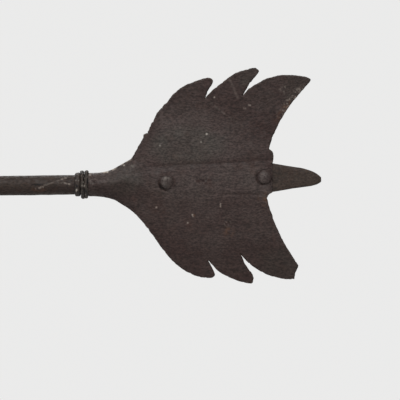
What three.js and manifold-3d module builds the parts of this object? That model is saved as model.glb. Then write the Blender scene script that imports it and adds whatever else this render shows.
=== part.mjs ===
// A wrought-iron arrow weathervane: a riveted, feathered tail and a barbed head on one forged shaft,
// which turns on a pointed spindle standing on a foot plate.
// Millimetres, +Z up. The origin is under the middle of the foot plate, on the spindle's axis.
// The tail points along +X, and the faces with the rivet heads look along -Y.
import * as THREE from "three";
import { mergeVertices } from "three/addons/utils/BufferGeometryUtils.js";
import Module from "manifold-3d";

const wasm = await Module();
wasm.setup();

// ---------------------------------------------------------------- driving dimensions

const GAP = 0.3; // left between pieces that touch
const SHAFT_HEIGHT = 300; // shaft axis above the foot's underside
const SHAFT_RADIUS = 7.95; // 5/8 inch round bar
const TAIL_NECK_X = 150; // mouth of the tail's socket, from the spindle's axis
const HEAD_NECK_X = -250; // mouth of the head's socket

const SHEET = 2; // thickness of the tail's sheet iron
const PANEL_RISE = 1.5; // how far the sheet is beaten out over the tongue
const TONGUE_HALF_DEPTH = 3;
const NECK_RADIUS = 9.6;
const SOCKET_WALL = 1.5;
const SOCKET_LENGTH = 34;

const COLLAR_BAND = { radius: 9.6, width: 4.9 };
const COLLAR_BEAD = { radius: 11.4, width: 3.1 };

const RIVET = { shank: 3, head: 5.5, headRise: 2.3, tail: 4.6, tailRise: 1.9 };
const BURR = { radius: 6.6, thickness: 1.2 };

const HEAD_THICKNESS = 7;
const HEAD_EDGE = 2.4; // thickness of the head at its edges

const TUBE = { outer: 11, inner: 8.5, bottom: -135, top: 15.3 };
const PINTLE_RADIUS = 6;
const EYE = { radius: 17.5, halfHeight: 12, ringRadius: 15.5, lowerRing: 5 };
const SPINDLE_RADIUS = 9;
const FOOT = { side: 120, thickness: 8, corner: 12, holeRadius: 4.5, holeOffset: 44 };
const FOOT_BOSS = { radius: 18, top: 42 };
const FOOT_PIN_RADIUS = 3;
const FOOT_PIN_HEIGHT = 26;
const CAP_PIN = { radius: 2, height: 9, halfLength: 19 };

const AROUND = 24; // facets round a shaft, tube or bush
const AROUND_SMALL = 12; // facets round a rivet or pin

// ---------------------------------------------------------------- materials

const iron = (color, roughness) => new THREE.MeshStandardMaterial({ color, roughness, metalness: 0.6 });
const FORGED = iron(0x322a26, 0.66);
const SHEET_IRON = iron(0x3b312f, 0.7);
const RIVET_IRON = iron(0x38312d, 0.64);
const RUNNING_IRON = iron(0x5b5753, 0.45);

// ---------------------------------------------------------------- solids

// A closed three.js geometry as a manifold-3d solid.
function solid(geometry) {
  const bare = geometry.index ? geometry.toNonIndexed() : geometry.clone();
  bare.deleteAttribute("normal");
  bare.deleteAttribute("uv");
  const merged = mergeVertices(bare, 1e-4);
  return new wasm.Manifold(
    new wasm.Mesh({
      numProp: 3,
      vertProperties: new Float32Array(merged.attributes.position.array),
      triVerts: new Uint32Array(merged.index.array),
    }),
  );
}

// A manifold-3d solid as a three.js geometry.
function geometryOf(manifold) {
  const mesh = manifold.getMesh();
  const geometry = new THREE.BufferGeometry();
  geometry.setAttribute("position", new THREE.BufferAttribute(mesh.vertProperties, 3));
  geometry.setIndex(new THREE.BufferAttribute(mesh.triVerts, 1));
  geometry.computeVertexNormals();
  return geometry;
}

// A bar along X. Each station gives the section's centre, half sizes and squareness:
// 2 is an ellipse, and a higher number is a bar with flats and rounded corners.
function forgedBar(stations, around = AROUND) {
  const geometry = new THREE.CylinderGeometry(1, 1, 1, around, stations.length - 1);
  const place = geometry.attributes.position;
  for (let i = 0; i < place.count; i++) {
    const row = Math.round((0.5 - place.getY(i)) * (stations.length - 1));
    const { x, y = 0, z = 0, high, deep, square = 2 } = stations[row];
    const across = place.getX(i);
    const up = place.getZ(i);
    const reach = Math.abs(across) ** square + Math.abs(up) ** square;
    const stretch = reach > 0 ? reach ** (-1 / square) : 0;
    place.setXYZ(i, x, y + deep * stretch * across, z + high * stretch * up);
  }
  return geometry;
}

// The same bar, larger all round, to cut its seat with.
function seatFor(stations, gap = GAP) {
  return solid(forgedBar(stations.map((s) => ({ ...s, high: s.high + gap, deep: s.deep + gap }))));
}

// A profile of [radius, height] pairs turned about Z.
function turned(profile, around = AROUND) {
  const points = profile.map(([radius, height]) => new THREE.Vector2(radius, height));
  return new THREE.LatheGeometry(points, around).rotateX(Math.PI / 2);
}

function ring(inner, outer, bottom, top, around = AROUND) {
  return turned([[inner, bottom], [outer, bottom], [outer, top], [inner, top], [inner, bottom]], around);
}

function rod(radius, bottom, top, around = AROUND) {
  return turned([[0, bottom], [radius, bottom], [radius, top], [0, top]], around);
}

const alongX = (geometry) => geometry.rotateY(Math.PI / 2);
const alongY = (geometry) => geometry.rotateX(-Math.PI / 2);

// A hole of this radius along Y, through everything at x and z.
function crossHole(radius, x, z) {
  return solid(alongY(rod(radius, -30, 30, AROUND_SMALL)).translate(x, 0, z));
}

const rivetHole = ([x, z]) => crossHole(RIVET.shank + GAP, x, z);
const capPinHole = () => crossHole(CAP_PIN.radius + GAP, 0, CAP_PIN.height);
const footPinHole = () => crossHole(FOOT_PIN_RADIUS + GAP, 0, FOOT_PIN_HEIGHT);

// An outline in the XZ plane with a thickness along Y, from y = front to y = front + thickness.
function plate(shape, front, thickness, curveSegments = 4) {
  const options = { depth: thickness, bevelEnabled: false, curveSegments };
  const geometry = new THREE.ExtrudeGeometry(shape, options);
  return geometry.rotateX(Math.PI / 2).translate(0, front + thickness, 0);
}

// A closed shape made of smooth stretches that meet at corners. Each stretch starts where the last ended.
function outline(start, stretches) {
  const shape = new THREE.Shape().moveTo(...start);
  for (const stretch of stretches) {
    if (stretch.length === 1) shape.lineTo(...stretch[0]);
    else shape.splineThru(stretch.map(([x, z]) => new THREE.Vector2(x, z)));
  }
  return shape;
}

function node(name, geometry, material) {
  const mesh = new THREE.Mesh(geometry, material);
  mesh.name = name;
  return mesh;
}

// ---------------------------------------------------------------- the shaft's tongues and their sockets

// Both are measured from a socket's mouth outwards, with z from the shaft's axis.
const TAIL_TONGUE = [
  { x: 8, high: SHAFT_RADIUS, deep: SHAFT_RADIUS },
  { x: 20, z: 0.6, high: 8.5, deep: 6.4, square: 2.4 },
  { x: 34, z: 1.6, high: 8.9, deep: 4.4, square: 3.2 },
  { x: 52, z: 2.5, high: 9.3, deep: TONGUE_HALF_DEPTH, square: 5 },
  { x: 100, z: 3, high: 10.8, deep: TONGUE_HALF_DEPTH, square: 5 },
  { x: 150, z: 3.6, high: 11.8, deep: 2.8, square: 5 },
  { x: 166, z: 3.5, high: 9, deep: 2.5, square: 4.5 },
  { x: 176, z: 3.15, high: 7.6, deep: 2.3, square: 4 },
  { x: 182, z: 2.6, high: 6.3, deep: 2.1, square: 3.5 },
  { x: 186, z: 2.1, high: 4.9, deep: 1.9, square: 3 },
  { x: 189, z: 1.7, high: 3.3, deep: 1.5, square: 2.5 },
  { x: 190.8, z: 1.5, high: 1.5, deep: 0.7 },
];
const HEAD_TONGUE = [
  { x: 8, high: SHAFT_RADIUS, deep: SHAFT_RADIUS },
  { x: 20, high: 8.4, deep: 6, square: 2.4 },
  { x: 32, high: 8.8, deep: 3.6, square: 3.6 },
  { x: 44, high: 9, deep: TONGUE_HALF_DEPTH, square: 5 },
  { x: 78, high: 7.6, deep: TONGUE_HALF_DEPTH, square: 5 },
  { x: 84, high: 5.2, deep: 2.5, square: 3.5 },
  { x: 88, high: 2.4, deep: 1.6 },
];

// The sheet wraps the shaft at the neck, then opens out and flattens into the wings.
const TAIL_SOCKET = [
  { x: 0, high: NECK_RADIUS, deep: NECK_RADIUS },
  { x: 6, high: 9.6, deep: 9.5 },
  { x: 12, high: 10.2, deep: 9.2 },
  { x: 17, high: 11.2, deep: 8.7 },
  { x: 21.5, high: 12.9, deep: 8 },
  { x: 26.5, high: 15.9, deep: 7 },
  { x: 30.5, high: 18.2, deep: 6.2, square: 2.2 },
  { x: SOCKET_LENGTH, high: 19.9, deep: 5.4, square: 2.6 },
];
const HEAD_SOCKET = [
  { x: 0, high: NECK_RADIUS, deep: NECK_RADIUS },
  { x: 8, high: 9.7, deep: 9.4 },
  { x: 15, high: 10.6, deep: 8.6 },
  { x: 21, high: 12, deep: 7.4 },
  { x: 27, high: 14, deep: 6 },
];

// The hollow inside a socket: a wall thinner all round, and open at the mouth and at the far end.
function hollowOf(stations) {
  const inner = stations.map((s) => ({ ...s, high: s.high - SOCKET_WALL, deep: s.deep - SOCKET_WALL }));
  const mouth = { ...inner[0], x: inner[0].x - 1 };
  return solid(forgedBar([mouth, ...inner]));
}

// The wrapped sheet, with the seam where its two edges meet behind the shaft.
function socketShell(stations, seamSide) {
  const length = stations[stations.length - 1].x;
  const seam = new THREE.BoxGeometry(length + 2, 12, 0.8).translate(length / 2, seamSide * 9, 0);
  return solid(forgedBar(stations)).subtract(hollowOf(stations)).subtract(solid(seam));
}

// ---------------------------------------------------------------- tail

// Where the two rivets go through the tail, from the socket's mouth and the shaft's axis.
const TAIL_RIVETS = [[64, 0.8], [144, 3.9]];

const PANEL_FRONT = -(TONGUE_HALF_DEPTH + GAP + SHEET);
const WING_FRONT = PANEL_FRONT + PANEL_RISE;

// The fletching, clockwise from the top of the neck: three barbs, the hollow trailing edge and three more.
const FLETCHING = outline([26, 15.4], [
  [[35.5, 20.3]],
  [[40.5, 28.5], [45.5, 38]],
  [[45.6, 40.2]],
  [[49.2, 41.4]],
  [[53, 50], [59.2, 59.7], [69.5, 71], [82, 80.8], [96, 85.5]],
  [[100.5, 85.9], [103, 84.1], [102.5, 81.6]],
  [[99.2, 75.8], [96.5, 69.8]],
  [[105, 77.3], [118, 87], [133.7, 92.7]],
  [[138, 93.5], [140.7, 91.4], [139.6, 89]],
  [[132.6, 80.2], [127.6, 70.9]],
  [[138.5, 79.8], [151, 85.1], [163, 87.3], [175.5, 86.3], [181.3, 85]],
  [[183.1, 83.5], [181.7, 81.2]],
  [[170, 68], [160, 54], [152, 39.2], [148, 27.1]],
  [[151.2, 24.2], [151.6, 20], [150.7, 15.4]],
  [[150.2, -8.3]],
  [[147.8, -9.6], [146, -13.4]],
  [[148.4, -23], [154.6, -39.8], [162, -54.3], [171, -68.8]],
  [[168.9, -74.4], [167.4, -79.6]],
  [[158.5, -79.4], [144.5, -75.6], [133.5, -68.7], [124.6, -59.9]],
  [[128.5, -69], [133.4, -75.6], [134.1, -79]],
  [[132.8, -82.3], [130, -82.5]],
  [[121.5, -80.3], [110.6, -75.2], [98.2, -64.7]],
  [[101.3, -72.2], [102.5, -75.2], [101.2, -76.9], [99.2, -77.5]],
  [[90.5, -77.2], [77, -71], [62.5, -56.6], [48, -36.4], [38.3, -24.5], [30.3, -18.4]],
  [[26, -15.8]],
]);

// The strip of sheet beaten out over the tongue.
const PANEL = outline([30, 10.6], [
  [[58, 13], [100, 14.9], [151.1, 16.8]],
  [[150.2, -10]],
  [[100, -8.8], [58, -7.8], [30, -9.6]],
]);

function tailPlate() {
  const wings = solid(plate(FLETCHING, WING_FRONT, SHEET));
  const panel = solid(plate(PANEL, PANEL_FRONT, PANEL_RISE + SHEET, 3));
  const mouth = { x: -2, high: SHAFT_RADIUS, deep: SHAFT_RADIUS };
  let sheet = wings.add(panel).subtract(hollowOf(TAIL_SOCKET)).add(socketShell(TAIL_SOCKET, 1));
  sheet = sheet.subtract(seatFor([mouth, ...TAIL_TONGUE]));
  for (const place of TAIL_RIVETS) sheet = sheet.subtract(rivetHole(place));
  return geometryOf(sheet);
}

// ---------------------------------------------------------------- head

const HEAD_RIVETS = [[49, 0], [71, 0]];

// The upper edge of the head's blade, from its root to the point; the lower one mirrors it.
const BARB_NOTCH = [[31, 14.6], [27, 22], [17, 35]];
const BLADE_EDGE = [[22, 36.5], [54, 25.5], [90, 12.6], [117, 1.6]];
const mirrored = (points) => points.map(([x, z]) => [x, -z]).reverse();

const BLADE = outline([22, 11.4], [
  BARB_NOTCH,
  BLADE_EDGE,
  [[118.5, 0], [117, -1.6]],
  [...mirrored(BLADE_EDGE.slice(0, 3)), [17, -35]],
  [...mirrored(BARB_NOTCH.slice(0, 2)), [22, -11.4]],
]);

// The forged section: flat along the middle, where the rivets sit, and thinning to both edges.
const HEAD_SECTION = outline([-9, HEAD_THICKNESS], [
  [[-42, HEAD_EDGE]],
  [[-42, 0]],
  [[42, 0]],
  [[42, HEAD_EDGE]],
  [[9, HEAD_THICKNESS]],
]);

// Built with its point along +X and its face towards +Y; the head group turns it half round.
function headBlade() {
  const back = TONGUE_HALF_DEPTH + GAP;
  const section = new THREE.ExtrudeGeometry(HEAD_SECTION, { depth: 140, bevelEnabled: false });
  section.rotateY(Math.PI / 2).translate(0, back, 0);
  const mouth = { x: -2, high: SHAFT_RADIUS, deep: SHAFT_RADIUS };
  let head = solid(plate(BLADE, back, HEAD_THICKNESS, 3)).intersect(solid(section));
  head = head.subtract(hollowOf(HEAD_SOCKET)).add(socketShell(HEAD_SOCKET, -1));
  head = head.subtract(seatFor([mouth, ...HEAD_TONGUE]));
  for (const place of HEAD_RIVETS) head = head.subtract(rivetHole(place));
  return geometryOf(head);
}

// ---------------------------------------------------------------- collars and rivets

// A ring on the shaft with a rounded back, from x = 0 to x = width.
function collarRing(radius, width) {
  const inner = SHAFT_RADIUS + GAP;
  const profile = [];
  for (let i = 0; i <= 5; i++) {
    const turn = (Math.PI * i) / 5;
    profile.push([inner + (radius - inner) * Math.sin(turn) ** 0.6, (width * (1 - Math.cos(turn))) / 2]);
  }
  profile.push(profile[0]);
  return alongX(turned(profile));
}

// A domed rivet along Y: its head sits on the plane y = front, and its hammered tail on y = back.
function rivet(front, back) {
  const dome = (radius, rise, level, side) =>
    [0.35, 0.7, 1].map((share) => {
      const turn = (share * Math.PI) / 2;
      return [radius * Math.cos(turn), level + side * rise * Math.sin(turn)];
    });
  const { shank, head, headRise, tail, tailRise } = RIVET;
  const profile = [
    ...dome(head, headRise, front - GAP, -1).reverse(),
    [head, front - GAP],
    [shank, front - GAP],
    [shank, back + GAP],
    [tail, back + GAP],
    ...dome(tail, tailRise, back + GAP, 1),
  ];
  profile[0][0] = 0;
  profile[profile.length - 1][0] = 0;
  return alongY(turned(profile, AROUND_SMALL));
}

// ---------------------------------------------------------------- shaft and swivel

const outwards = (tongue, neck) => tongue.map((s) => ({ ...s, x: neck + s.x }));
const inwards = (tongue, neck) => tongue.map((s) => ({ ...s, x: neck - s.x })).reverse();

function arrowShaft() {
  const straight = { high: SHAFT_RADIUS, deep: SHAFT_RADIUS };
  const bar = solid(
    forgedBar([
      ...inwards(HEAD_TONGUE, HEAD_NECK_X),
      { ...straight, x: HEAD_NECK_X / 2 },
      { ...straight, x: TAIL_NECK_X / 2 },
      ...outwards(TAIL_TONGUE, TAIL_NECK_X),
    ]),
  );
  const eye = solid(
    turned([
      [0, -EYE.halfHeight],
      [EYE.radius - 2.5, -EYE.halfHeight],
      [EYE.radius - 0.5, -EYE.halfHeight / 2],
      [EYE.radius, 0],
      [EYE.radius - 0.5, EYE.halfHeight / 2],
      [EYE.radius - 2.5, EYE.halfHeight],
      [0, EYE.halfHeight],
    ]),
  );
  const bore = solid(rod(TUBE.outer + GAP, -30, 30));
  let shaft = bar.add(eye).subtract(bore).subtract(capPinHole());
  const holes = [
    ...TAIL_RIVETS.map(([x, z]) => [TAIL_NECK_X + x, z]),
    ...HEAD_RIVETS.map(([x, z]) => [HEAD_NECK_X - x, z]),
  ];
  for (const place of holes) shaft = shaft.subtract(rivetHole(place));
  return geometryOf(shaft);
}

function swivelTube() {
  const tube = solid(ring(TUBE.inner, TUBE.outer, TUBE.bottom, TUBE.top));
  return geometryOf(tube.subtract(capPinHole()));
}

// The plug that closes the tube, with a ball finial above it.
function capFinial() {
  const plug = TUBE.inner - GAP;
  const seat = TUBE.top + GAP;
  const ball = { radius: 11.5, centre: seat + 18 };
  const profile = [
    [0, 5.3],
    [plug, 5.3],
    [plug, seat],
    [15.5, seat],
    [15.5, seat + 2],
    [12, seat + 4],
    [6.5, seat + 6],
  ];
  for (let i = 1; i <= 6; i++) {
    const turn = (Math.PI * (i + 0.6)) / 8 - Math.PI / 2;
    profile.push([ball.radius * Math.cos(turn), ball.centre + ball.radius * Math.sin(turn)]);
  }
  profile.push([2.2, ball.centre + 12.5], [0, ball.centre + 15]);
  return geometryOf(solid(turned(profile)).subtract(capPinHole()));
}

function capPin() {
  const { radius, halfLength } = CAP_PIN;
  const end = radius * 0.6;
  const shoulder = halfLength - 0.8;
  const profile = [
    [0, -halfLength],
    [end, -halfLength],
    [radius, -shoulder],
    [radius, shoulder],
    [end, halfLength],
    [0, halfLength],
  ];
  return alongY(turned(profile, AROUND_SMALL)).translate(0, 0, CAP_PIN.height);
}

// The hard disc that the spindle's point runs in.
const POINT = { tip: -1.3, dimple: 3, slope: 1.2 };

function thrustDisc() {
  const radius = TUBE.inner - GAP;
  const mouth = POINT.dimple * POINT.slope;
  const deepest = POINT.tip + GAP;
  const under = deepest - POINT.dimple;
  const top = 5;
  return turned([[0, deepest], [mouth, under], [radius, under], [radius, top], [0, top]]);
}

function guideBush() {
  const inner = PINTLE_RADIUS + GAP;
  const outer = TUBE.inner - GAP;
  const under = TUBE.bottom - GAP;
  return turned([
    [inner, under - 3],
    [TUBE.outer, under - 3],
    [TUBE.outer, under],
    [outer, under],
    [outer, under + 20],
    [inner, under + 20],
    [inner, under - 3],
  ]);
}

// ---------------------------------------------------------------- spindle and foot

const BUSH_UNDERSIDE = SHAFT_HEIGHT + TUBE.bottom - GAP - 3;
const DRIP_RING = { radius: 14.5, top: BUSH_UNDERSIDE - 1, bottom: BUSH_UNDERSIDE - 7 };
const SHOULDER = DRIP_RING.bottom - GAP;

function spindle() {
  const tip = SHAFT_HEIGHT + POINT.tip;
  const cone = PINTLE_RADIUS / POINT.slope;
  const bar = solid(
    turned([
      [0, FOOT.thickness + GAP],
      [SPINDLE_RADIUS, FOOT.thickness + GAP],
      [SPINDLE_RADIUS, SHOULDER],
      [PINTLE_RADIUS, SHOULDER],
      [PINTLE_RADIUS, tip - cone],
      [0, tip],
    ]),
  );
  return geometryOf(bar.subtract(footPinHole()));
}

function dripRing() {
  const inner = PINTLE_RADIUS + GAP;
  const { radius, top, bottom } = DRIP_RING;
  return turned([
    [inner, bottom],
    [radius - 1, bottom],
    [radius, bottom + 1.5],
    [radius - 2.5, top],
    [inner, top],
    [inner, bottom],
  ]);
}

function foot() {
  const half = FOOT.side / 2;
  const r = FOOT.corner;
  const square = new THREE.Shape().moveTo(-half + r, -half);
  square.absarc(half - r, -half + r, r, -Math.PI / 2, 0);
  square.absarc(half - r, half - r, r, 0, Math.PI / 2);
  square.absarc(-half + r, half - r, r, Math.PI / 2, Math.PI);
  square.absarc(-half + r, -half + r, r, Math.PI, (3 * Math.PI) / 2);
  const options = { depth: FOOT.thickness, bevelEnabled: false, curveSegments: 5 };
  const base = new THREE.ExtrudeGeometry(square, options);
  const { radius, top } = FOOT_BOSS;
  const boss = turned([
    [0, 1],
    [radius + 6, 1],
    [radius + 6, FOOT.thickness],
    [radius + 1.5, FOOT.thickness + 4],
    [radius, FOOT.thickness + 9],
    [radius - 1.5, top - 2],
    [radius - 3, top],
    [0, top],
  ]);
  let made = solid(base).add(solid(boss));
  made = made.subtract(solid(rod(SPINDLE_RADIUS + GAP, FOOT.thickness, top + 5)));
  for (const sx of [-1, 1]) {
    for (const sy of [-1, 1]) {
      const hole = rod(FOOT.holeRadius, -5, 20, AROUND_SMALL);
      made = made.subtract(solid(hole.translate(sx * FOOT.holeOffset, sy * FOOT.holeOffset, 0)));
    }
  }
  return geometryOf(made.subtract(footPinHole()));
}

function footPin() {
  const reach = FOOT_BOSS.radius + 2;
  const r = FOOT_PIN_RADIUS;
  const end = r * 0.7;
  const shoulder = reach - 1;
  const profile = [[0, -reach], [end, -reach], [r, -shoulder], [r, shoulder], [end, reach], [0, reach]];
  return alongY(turned(profile, AROUND_SMALL)).translate(0, 0, FOOT_PIN_HEIGHT);
}

// ---------------------------------------------------------------- assembly

// A flat band and two beads, side by side on the shaft, ending just short of a socket's mouth at x = 0.
function addCollar(group, name) {
  const rings = [["band", COLLAR_BAND], ["bead_1", COLLAR_BEAD], ["bead_2", COLLAR_BEAD]];
  let x = -COLLAR_BAND.width - 2 * COLLAR_BEAD.width;
  for (const [kind, { radius, width }] of rings) {
    group.add(node(`${name}_collar_${kind}`, collarRing(radius, width - GAP), FORGED).translateX(x));
    x += width;
  }
}

// Rivets through a blade whose face is at y = front, with a burr under each hammered tail at y = back.
function addRivets(group, name, places, front, back) {
  places.forEach(([x, z], i) => {
    const under = back + GAP;
    const burr = alongY(ring(RIVET.shank + GAP, BURR.radius, under, under + BURR.thickness, AROUND_SMALL));
    group.add(node(`${name}_burr_${i + 1}`, burr.translate(x, 0, z), RIVET_IRON));
    const made = rivet(front, under + BURR.thickness);
    group.add(node(`${name}_rivet_${i + 1}`, made.translate(x, 0, z), RIVET_IRON));
  });
}

const tail = new THREE.Group();
tail.position.x = TAIL_NECK_X;
tail.add(node("tail_plate", tailPlate(), SHEET_IRON));
addCollar(tail, "tail");
addRivets(tail, "tail", TAIL_RIVETS, PANEL_FRONT, TONGUE_HALF_DEPTH);

const head = new THREE.Group();
head.position.x = HEAD_NECK_X;
head.rotation.z = Math.PI;
head.add(node("head_blade", headBlade(), FORGED));
addCollar(head, "head");

const vane = new THREE.Group();
vane.position.z = SHAFT_HEIGHT;
vane.add(tail, head);
const headRivets = HEAD_RIVETS.map(([x, z]) => [HEAD_NECK_X - x, z]);
addRivets(vane, "head", headRivets, -TONGUE_HALF_DEPTH - GAP - HEAD_THICKNESS, TONGUE_HALF_DEPTH);
vane.add(node("arrow_shaft", arrowShaft(), FORGED));
vane.add(node("swivel_tube", swivelTube(), FORGED));
const eyeRing = (bottom, top) => ring(TUBE.outer + GAP, EYE.ringRadius, bottom, top);
const eyeEnd = EYE.halfHeight + GAP;
vane.add(node("eye_ring_upper", eyeRing(eyeEnd, TUBE.top), FORGED));
vane.add(node("eye_ring_lower", eyeRing(-eyeEnd - EYE.lowerRing, -eyeEnd), FORGED));
vane.add(node("cap_finial", capFinial(), FORGED));
vane.add(node("cap_pin", capPin(), RIVET_IRON));
vane.add(node("thrust_disc", thrustDisc(), RUNNING_IRON));
vane.add(node("guide_bush", guideBush(), RUNNING_IRON));

const weathervane = new THREE.Group();
weathervane.add(vane);
weathervane.add(node("spindle", spindle(), FORGED));
weathervane.add(node("drip_ring", dripRing(), FORGED));
weathervane.add(node("foot", foot(), FORGED));
weathervane.add(node("foot_pin", footPin(), RIVET_IRON));

export default weathervane;
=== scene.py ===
"""Looks for the wrought-iron arrow weathervane: forged meshes, dark iron finishes, studio and camera.

Lengths are in millimetres while a piece is shaped, and become metres when its mesh is made.
The arrow's pieces are shaped about the shaft's axis: x runs from the spindle to the tail, z is up.
"""

import math

import bmesh
import bpy
import numpy as np
from mathutils import Matrix, Vector
from mathutils.geometry import delaunay_2d_cdt


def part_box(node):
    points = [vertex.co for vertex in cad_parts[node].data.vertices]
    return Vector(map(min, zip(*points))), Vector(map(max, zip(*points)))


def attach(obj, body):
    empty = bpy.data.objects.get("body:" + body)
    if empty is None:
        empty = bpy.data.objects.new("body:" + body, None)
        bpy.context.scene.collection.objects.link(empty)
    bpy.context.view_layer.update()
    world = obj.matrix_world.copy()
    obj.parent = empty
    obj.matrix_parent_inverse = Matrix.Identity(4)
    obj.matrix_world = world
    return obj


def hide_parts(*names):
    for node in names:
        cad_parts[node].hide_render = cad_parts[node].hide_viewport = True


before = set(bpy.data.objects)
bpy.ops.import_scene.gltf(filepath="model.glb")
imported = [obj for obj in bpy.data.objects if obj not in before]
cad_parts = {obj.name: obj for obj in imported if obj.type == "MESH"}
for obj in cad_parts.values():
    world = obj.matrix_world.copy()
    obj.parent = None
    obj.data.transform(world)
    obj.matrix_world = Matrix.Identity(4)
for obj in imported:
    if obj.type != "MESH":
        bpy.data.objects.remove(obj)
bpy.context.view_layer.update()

MM = 0.001
TAIL_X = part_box("tail_plate")[0].x / MM  # the mouth of the tail's socket
HEAD_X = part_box("head_blade")[1].x / MM  # the mouth of the head's socket
AXIS_Z = (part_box("tail_collar_band")[0].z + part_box("tail_collar_band")[1].z) / 2 / MM



def box_mm(node):
    """The low and high corners of a CAD node's box, in millimetres."""
    return np.array(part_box(node), float) / MM


# ---- noise, for hand-worked surfaces


def stirred(cell):
    """A whole number for each cell that jumps about from one to the next."""
    return (cell[:, 0] * 73856093) ^ (cell[:, 1] * 19349663) ^ (cell[:, 2] * 83492791)


def lumps(points, size, seed, octaves=2):
    """Smooth noise, about -1 to 1. size is how wide its lumps are, or how wide along each axis."""
    total = np.zeros(len(points))
    for octave in range(octaves):
        place = points / np.asarray(size, float) * 2**octave + 19.19 * seed + 7.7 * octave
        cell = np.floor(place).astype(np.int64)
        share = place - cell
        share = share * share * (3 - 2 * share)
        for corner in np.ndindex(2, 2, 2):
            mixed = stirred(cell + corner) ^ (seed * 2654435)
            mixed = (mixed ^ (mixed >> 13)) * 1274126177
            value = ((mixed >> 8) & 0xFFFF) / 32767.5 - 1
            weight = np.prod(np.where(corner, share, 1 - share), axis=1)
            total += weight * value * 0.6**octave
    return total


def dents(points, size, seed):
    """Overlapping shallow hammer marks, 0 on the ridges between them to -1 at the middle of each."""
    place = points / size + 3.3 * seed
    cell = np.floor(place).astype(np.int64)
    nearest = np.full(len(points), 9.0)
    for step in np.ndindex(3, 3, 3):
        at = cell + step - 1
        gap = np.zeros(len(points))
        for axis in range(3):
            mixed = ((stirred(at) ^ (seed * 7919 + axis * 104729)) * 1274126177) >> 9
            gap += (at[:, axis] + (mixed & 0xFFFF) / 65535 - place[:, axis]) ** 2
        nearest = np.minimum(nearest, gap)
    return np.clip(nearest, 0, 1) - 1


def ease(value, low, high):
    """0 below low, 1 above high, and a smooth rise between."""
    share = np.clip((value - low) / (high - low), 0, 1)
    return share * share * (3 - 2 * share)


def band(value, low, full, fading, gone):
    """0 below low, 1 from full to fading, and 0 above gone."""
    return ease(value, low, full) * (1 - ease(value, fading, gone))


def swell(value, middle, width):
    """1 at the middle, falling away on both sides over about width."""
    return np.exp(-(((value - middle) / width) ** 2))


def away(x, z, place):
    """How far each point is from a place."""
    return np.hypot(x - place[0], z - place[1])


def spot(x, z, middle, solid, reach, wide=1.0, tall=1.0):
    """1 within solid of the middle, falling to 0 at reach, and stretched by wide and tall."""
    return 1 - ease(np.hypot((x - middle[0]) / wide, (z - middle[1]) / tall), solid, reach)


# ---- meshes


def put(name, data):
    """A new object in the scene."""
    made = bpy.data.objects.new(name, data)
    bpy.context.scene.collection.objects.link(made)
    return made


def make(name, points, faces, origin=(0, 0, 0)):
    """A smooth closed mesh from points in millimetres, with its faces turned outwards."""
    mesh = bpy.data.meshes.new(name)
    mesh.from_pydata(((np.asarray(points) + origin) * MM).tolist(), [], faces)
    work = bmesh.new()
    work.from_mesh(mesh)
    bmesh.ops.recalc_face_normals(work, faces=work.faces)
    work.to_mesh(mesh)
    work.free()
    mesh.shade_smooth()
    return put(name, mesh)


def join(name, pieces):
    """One object with the meshes of all the pieces."""
    with bpy.context.temp_override(active_object=pieces[0], selected_editable_objects=pieces):
        bpy.ops.object.join()
    pieces[0].name = name
    return pieces[0]


def vertices(mesh):
    """Where the mesh's vertices are, in millimetres."""
    place = np.empty(len(mesh.vertices) * 3)
    mesh.vertices.foreach_get("co", place)
    return place.reshape(-1, 3) / MM


def move(mesh, place):
    """Moves the mesh's vertices to places in millimetres."""
    mesh.vertices.foreach_set("co", (place * MM).ravel())
    mesh.update()


def beat(piece, depth):
    """Moves each vertex of the piece along its normal by depth(points), all in millimetres."""
    place = vertices(piece.data)
    normal = np.empty(place.size)
    piece.data.vertex_normals.foreach_get("vector", normal)
    move(piece.data, place + normal.reshape(-1, 3) * depth(place)[:, None])
    return piece


def forging(deep, size, grain, seed, drawn=None):
    """The relief of hammered iron about its true surface: shallow dents, unevenness and fine scale."""
    fibre = [2.2] * 3 if drawn is None else [7.0 if axis == drawn else 1.4 for axis in range(3)]

    def depth(points):
        relief = deep * (dents(points, size, seed) + 0.6)
        relief += deep * lumps(points, size * 2.4, seed + 1)
        return relief + grain * lumps(points, fibre, seed + 2, 3)

    return depth


def skin(rings, closed_ends=True):
    """Faces over a stack of equal rings of points, with a fan at each end."""
    count, around = len(rings), len(rings[0])
    points = np.concatenate(rings)
    faces = []
    for i in range(count - 1):
        for j in range(around):
            k = (j + 1) % around
            faces.append((i * around + j, i * around + k, (i + 1) * around + k, (i + 1) * around + j))
    if closed_ends:
        points = np.vstack([points, rings[0].mean(0), rings[-1].mean(0)])
        first, last = len(points) - 2, len(points) - 1
        for j in range(around):
            k = (j + 1) % around
            faces.append((first, k, j))
            faces.append((last, (count - 1) * around + j, (count - 1) * around + k))
    return points, faces


def along(stations, spread=3.0):
    """A function that gives the stations' values at any x, with the corners between them smoothed."""
    known = np.array(stations, float)
    columns = range(1, known.shape[1])
    fine = np.arange(known[0, 0], known[-1, 0] + 0.2, 0.4)
    track = np.stack([np.interp(fine, known[:, 0], known[:, k]) for k in columns], axis=1)
    reach = int(spread / 0.4)
    window = np.hanning(2 * reach + 3)[1:-1]
    padded = np.pad(track, ((reach, reach), (0, 0)), mode="edge")
    even = np.stack([np.convolve(values, window / window.sum(), "valid") for values in padded.T], axis=1)
    even[0], even[-1] = track[0], track[-1]
    return lambda x: [np.interp(x, fine, values) for values in even.T]


def arc(middle, radius, turns):
    """Points on a circle, at turns in radians."""
    return np.stack([middle[0] + radius * np.cos(turns), middle[1] + radius * np.sin(turns)], axis=1)


def ring_section(inner, outer, low, high):
    """The profile of a plain ring."""
    return [(inner, low), (outer, low), (outer, high), (inner, high)]


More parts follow.
